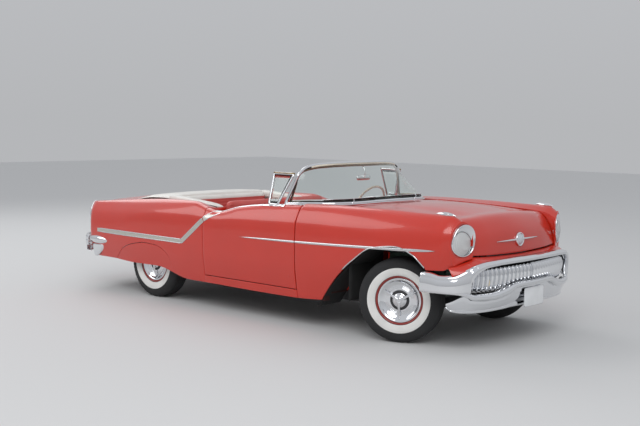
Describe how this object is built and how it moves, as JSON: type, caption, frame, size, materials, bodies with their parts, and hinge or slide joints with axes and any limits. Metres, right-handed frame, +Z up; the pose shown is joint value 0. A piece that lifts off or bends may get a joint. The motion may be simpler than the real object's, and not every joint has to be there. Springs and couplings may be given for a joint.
{
  "type": "two-door convertible car",
  "caption": "Open 1950s convertible car with opening doors, hood and trunk lid, turning wheels, steering, a wrapped windshield and a full bright bumper and grille.",
  "frame": {"origin": "on the ground below the middle of the car's length and width", "axes": "+X forward along the car, +Y to the car's left, +Z up"},
  "size_m": [5.288, 1.9412, 1.462],
  "materials": {
    "body_paint": "glossy vermilion red enamel",
    "chrome": "polished chrome plate",
    "glass": "clear, faintly green tinted",
    "lamp_glass": "clear fluted lens",
    "red_lens": "red transparent lens",
    "seat_vinyl": "pleated red and white vinyl",
    "boot_vinyl": "white grained vinyl",
    "tyre": "black rubber with a wide white sidewall",
    "wheel_metal": "polished cover on a red steel wheel",
    "chassis_black": "satin black chassis paint",
    "engine_green": "painted cast iron",
    "steel": "plain steel, dull",
    "cream_plastic": "glossy cream plastic",
    "dash_paint": "painted dashboard with bright trim",
    "carpet": "dark red carpet and painted floor"
  },
  "bodies": {
    "body": {"frame": "chassis_black", "floor_pan": "carpet", "cowl": "body_paint", "fender_left": "body_paint", "fender_right": "body_paint", "quarter_left": "body_paint", "quarter_right": "body_paint", "fender_skirts": "body_paint", "tail_panel": "body_paint", "windshield_frame": "chrome", "windshield_glass": "glass", "dashboard": "dash_paint", "steering_column": "cream_plastic", "front_seat": "seat_vinyl", "rear_seat": "seat_vinyl", "top_boot": "boot_vinyl", "front_bumper": "chrome", "grille": "chrome", "rear_bumper": "chrome", "headlamps": "lamp_glass", "tail_lamps": "red_lens", "control_arms": "chassis_black", "rear_axle": "chassis_black", "leaf_springs": "steel", "driveshaft": "steel", "engine_block": "engine_green", "radiator": "chassis_black", "exhaust": "steel", "fuel_tank": "steel", "mirror": "chrome", "front_plate": "cream_plastic"},
    "door_left": {"door_left": "body_paint", "vent_window_left": "chrome"},
    "door_right": {"door_right": "body_paint", "vent_window_right": "chrome"},
    "hood": {"hood": "body_paint", "nose_ornament": "chrome"},
    "trunk_lid": {"trunk_lid": "body_paint"},
    "steering": {"steering_wheel": "cream_plastic"},
    "knuckle_left": {"knuckle_left": "steel"},
    "knuckle_right": {"knuckle_right": "steel"},
    "front_wheel_left": {"front_wheel_left": "wheel_metal", "front_tyre_left": "tyre"},
    "front_wheel_right": {"front_wheel_right": "wheel_metal", "front_tyre_right": "tyre"},
    "rear_wheel_left": {"rear_wheel_left": "wheel_metal", "rear_tyre_left": "tyre"},
    "rear_wheel_right": {"rear_wheel_right": "wheel_metal", "rear_tyre_right": "tyre"}
  },
  "joints": [
    {"name": "steering_wheel_turn", "type": "hinge", "parent": "body", "child": "steering", "pos_m": [0.513, 0.38, 0.995], "axis": [-0.9063, 0, 0.4226], "range_deg": [-1008, 252]},
    {"name": "steer_left", "type": "hinge", "parent": "body", "child": "knuckle_left", "pos_m": [1.774, 0.6895, 0.355], "axis": [0, 0, 1], "range_deg": [-56, 14]},
    {"name": "front_wheel_left_spin", "type": "hinge", "parent": "knuckle_left", "child": "front_wheel_left", "pos_m": [1.7525, 0.74551, 0.355], "axis": [-0.3584, 0.9336, 0], "continuous": true},
    {"name": "rear_wheel_left_spin", "type": "hinge", "parent": "body", "child": "rear_wheel_left", "pos_m": [-1.325, 0.7365, 0.355], "axis": [0, 1, 0], "continuous": true},
    {"name": "door_left_swing", "type": "hinge", "parent": "body", "child": "door_left", "pos_m": [0.69, 0.945, 0.6], "axis": [0, 0, -1], "range_deg": [0, 65]},
    {"name": "steer_right", "type": "hinge", "parent": "body", "child": "knuckle_right", "pos_m": [1.774, -0.6895, 0.355], "axis": [0, 0, 1], "range_deg": [-56, 14]},
    {"name": "front_wheel_right_spin", "type": "hinge", "parent": "knuckle_right", "child": "front_wheel_right", "pos_m": [1.7955, -0.74551, 0.355], "axis": [-0.3584, 0.9336, 0], "continuous": true},
    {"name": "rear_wheel_right_spin", "type": "hinge", "parent": "body", "child": "rear_wheel_right", "pos_m": [-1.325, -0.7365, 0.355], "axis": [0, 1, 0], "continuous": true},
    {"name": "door_right_swing", "type": "hinge", "parent": "body", "child": "door_right", "pos_m": [0.69, -0.945, 0.6], "axis": [0, 0, 1], "range_deg": [0, 65]},
    {"name": "hood_lift", "type": "hinge", "parent": "body", "child": "hood", "pos_m": [1.3, 0, 1.073], "axis": [0, -1, 0], "range_deg": [0, 50]},
    {"name": "trunk_lid_lift", "type": "hinge", "parent": "body", "child": "trunk_lid", "pos_m": [-1.88, 0, 0.944], "axis": [0, 1, 0], "range_deg": [0, 70]}
  ],
  "couplings": [
    {"joint": "steer_left", "follows": "steering_wheel_turn", "ratio": 0.055556},
    {"joint": "steer_right", "follows": "steering_wheel_turn", "ratio": 0.055556}
  ]
}
